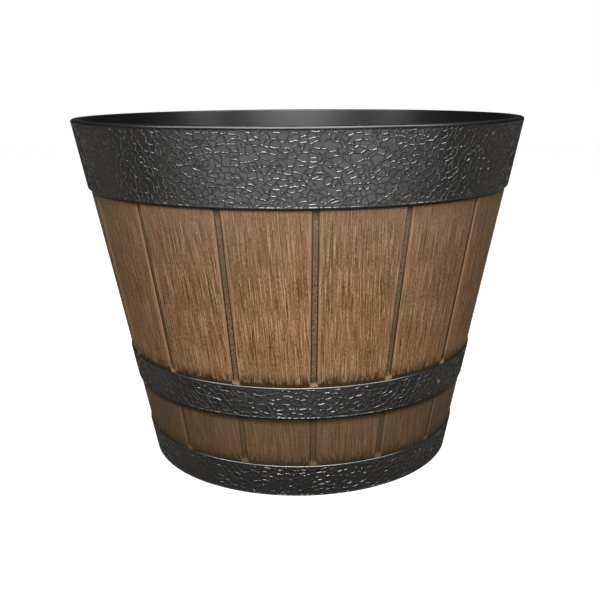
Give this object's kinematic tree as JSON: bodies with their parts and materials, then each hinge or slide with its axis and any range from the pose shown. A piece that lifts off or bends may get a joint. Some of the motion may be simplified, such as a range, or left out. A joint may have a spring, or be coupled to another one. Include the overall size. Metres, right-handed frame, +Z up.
{
  "type": "resin planter",
  "caption": "Round tapered floor planter in the form of a half barrel: wood-look staved wall, hammered black hoops, black inner pot with a rolled rim and plugged drain holes.",
  "frame": {"origin": "centre of the base on the surface that the planter stands on", "axes": "+Z up along the axis of the round pot; the pictured side faces -Y"},
  "size_m": [0.389, 0.389, 0.2985],
  "materials": {
    "black_resin": "satin moulded",
    "wood_look_resin": "painted wood grain, brown with dark antique wash",
    "hammered_resin": "satin, hammered",
    "plug_rubber": "matte"
  },
  "bodies": {
    "planter": {"pot_shell": "black_resin", "stave_wall": "wood_look_resin", "rim_band": "hammered_resin", "middle_band": "hammered_resin", "base_band": "hammered_resin"},
    "plug_1": {"drain_plug_1": "plug_rubber"},
    "plug_2": {"drain_plug_2": "plug_rubber"},
    "plug_3": {"drain_plug_3": "plug_rubber"},
    "plug_4": {"drain_plug_4": "plug_rubber"}
  },
  "joints": [
    {"name": "plug_1_lift", "type": "slide", "parent": "planter", "child": "plug_1", "axis": [0, 0, 1], "range_m": [0, 0.31]},
    {"name": "plug_2_lift", "type": "slide", "parent": "planter", "child": "plug_2", "axis": [0, 0, 1], "range_m": [0, 0.31]},
    {"name": "plug_3_lift", "type": "slide", "parent": "planter", "child": "plug_3", "axis": [0, 0, 1], "range_m": [0, 0.31]},
    {"name": "plug_4_lift", "type": "slide", "parent": "planter", "child": "plug_4", "axis": [0, 0, 1], "range_m": [0, 0.31]}
  ]
}
